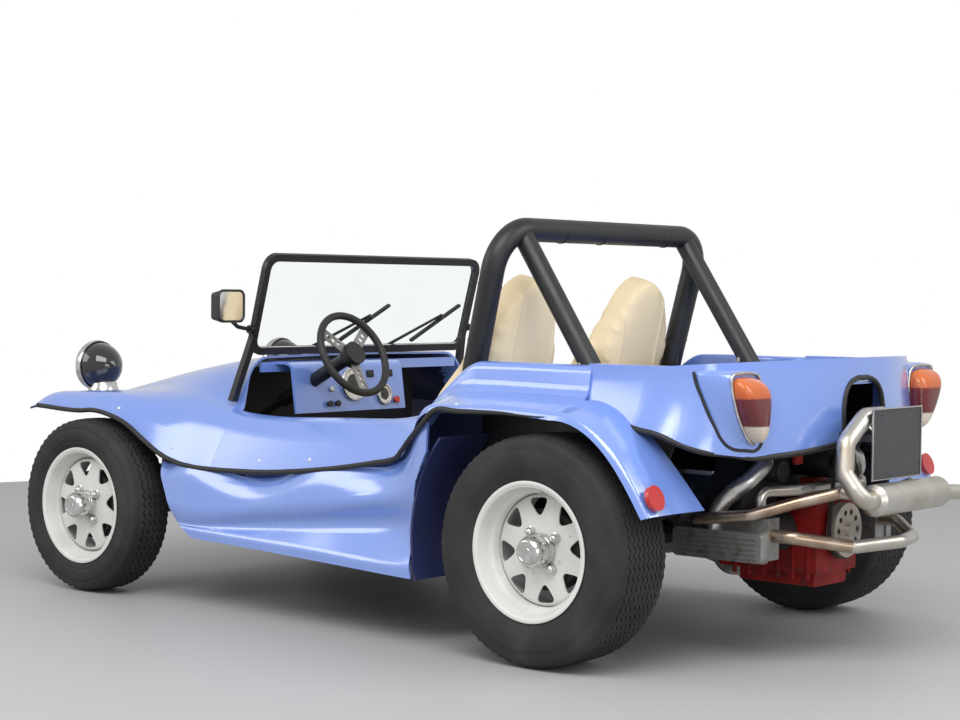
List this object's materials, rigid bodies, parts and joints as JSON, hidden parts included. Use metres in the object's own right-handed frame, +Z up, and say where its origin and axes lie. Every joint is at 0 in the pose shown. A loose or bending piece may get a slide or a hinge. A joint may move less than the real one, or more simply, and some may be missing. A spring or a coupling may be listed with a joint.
{
  "type": "dune buggy",
  "caption": "Open two-seat dune buggy on a shortened saloon platform: moulded blue body, roll hoop, flat screen, wide rear tyres and an exposed air-cooled rear engine.",
  "frame": {"origin": "on the ground under the middle of the overall length, on the centre line", "axes": "+X forward, +Y to the left, +Z up"},
  "size_m": [3.269, 1.745, 1.3329],
  "materials": {
    "body_blue": "gloss moulded fibreglass",
    "black_paint": "satin black paint",
    "glass": "clear flat screen glass",
    "tyre": "worn black rubber",
    "rubber": "matt black rubber",
    "rim_white": "worn white paint",
    "chrome": "bright chrome",
    "vinyl": "cream vinyl, padded",
    "steel": "weathered steel",
    "iron": "dark cast iron",
    "alloy": "cast aluminium",
    "engine_red": "red paint",
    "lens_red": "ribbed red lens",
    "lens_clear": "fluted clear lens",
    "plate_dark": "blank dark plate",
    "gauge_black": "black dials"
  },
  "bodies": {
    "chassis": {"front_body": "body_blue", "cockpit_side_left": "body_blue", "cockpit_side_right": "body_blue", "rear_body": "body_blue", "side_panel_left": "body_blue", "side_panel_right": "body_blue", "dash": "body_blue", "lamp_pods": "body_blue", "rear_deck": "body_blue", "floor_pan": "black_paint", "windscreen_frame": "black_paint", "roll_bar": "black_paint", "mirrors": "black_paint", "wipers": "black_paint", "headlamps": "black_paint", "front_beam": "black_paint", "rear_axles": "black_paint", "shock_absorbers": "black_paint", "fan_housing": "black_paint", "seat_runners": "black_paint", "steering_column": "black_paint", "generator": "black_paint", "windscreen_glass": "glass", "seat_left": "vinyl", "seat_right": "vinyl", "gearbox": "alloy", "engine_case": "engine_red", "cylinders": "iron", "cylinder_heads": "alloy", "valve_covers": "alloy", "crank_pulley": "steel", "fan_belt": "rubber", "intake_pipe": "steel", "exhaust": "steel", "number_plate": "plate_dark", "headlamp_lenses": "lens_clear", "tail_lamps": "lens_red", "reflectors": "lens_red", "gauges": "gauge_black"},
    "wheel_front_left": {"tyre_front_left": "tyre", "rim_front_left": "rim_white", "hub_front_left": "chrome"},
    "wheel_front_right": {"tyre_front_right": "tyre", "rim_front_right": "rim_white", "hub_front_right": "chrome"},
    "wheel_rear_left": {"tyre_rear_left": "tyre", "rim_rear_left": "rim_white", "hub_rear_left": "chrome"},
    "wheel_rear_right": {"tyre_rear_right": "tyre", "rim_rear_right": "rim_white", "hub_rear_right": "chrome"},
    "knuckle_left": {"knuckle_left": "iron"},
    "knuckle_right": {"knuckle_right": "iron"},
    "drop_arm": {"drop_arm": "iron"},
    "tie_rod_left": {"tie_rod_left": "steel"},
    "tie_rod_right": {"tie_rod_right": "steel"},
    "steering_wheel": {"steering_wheel": "rubber"}
  },
  "joints": [
    {"name": "steer_left", "type": "hinge", "parent": "chassis", "child": "knuckle_left", "pos_m": [1.269, 0.6, 0.311], "axis": [0, 0, 1], "range_deg": [-30, 30]},
    {"name": "steer_right", "type": "hinge", "parent": "chassis", "child": "knuckle_right", "pos_m": [1.269, -0.6, 0.311], "axis": [0, 0, 1], "range_deg": [-30, 30]},
    {"name": "drop_arm_turn", "type": "hinge", "parent": "chassis", "child": "drop_arm", "pos_m": [1.269, 0.345, 0.321], "axis": [0, 0, 1], "range_deg": [-30, 30]},
    {"name": "rod_left_turn", "type": "hinge", "parent": "drop_arm", "child": "tie_rod_left", "pos_m": [1.139, 0.345, 0.299], "axis": [0, 0, -1], "range_deg": [-30, 30]},
    {"name": "rod_right_turn", "type": "hinge", "parent": "drop_arm", "child": "tie_rod_right", "pos_m": [1.139, 0.345, 0.343], "axis": [0, 0, -1], "range_deg": [-30, 30]},
    {"name": "hand_wheel", "type": "hinge", "parent": "chassis", "child": "steering_wheel", "pos_m": [0.359, 0.345, 0.874], "axis": [-0.8894, 0, 0.4571], "range_deg": [-420, 420]},
    {"name": "spin_front_left", "type": "hinge", "parent": "knuckle_left", "child": "wheel_front_left", "pos_m": [1.269, 0.729, 0.311], "axis": [0, 1, 0], "continuous": true},
    {"name": "spin_front_right", "type": "hinge", "parent": "knuckle_right", "child": "wheel_front_right", "pos_m": [1.269, -0.729, 0.311], "axis": [0, 1, 0], "continuous": true},
    {"name": "spin_rear_left", "type": "hinge", "parent": "chassis", "child": "wheel_rear_left", "pos_m": [-0.831, 0.745, 0.343], "axis": [0, 1, 0], "continuous": true},
    {"name": "spin_rear_right", "type": "hinge", "parent": "chassis", "child": "wheel_rear_right", "pos_m": [-0.831, -0.745, 0.343], "axis": [0, 1, 0], "continuous": true}
  ],
  "couplings": [
    {"joint": "steer_right", "follows": "steer_left", "ratio": 1},
    {"joint": "drop_arm_turn", "follows": "steer_left", "ratio": 1},
    {"joint": "rod_left_turn", "follows": "steer_left", "ratio": 1},
    {"joint": "rod_right_turn", "follows": "steer_left", "ratio": 1},
    {"joint": "hand_wheel", "follows": "steer_left", "ratio": 14}
  ]
}
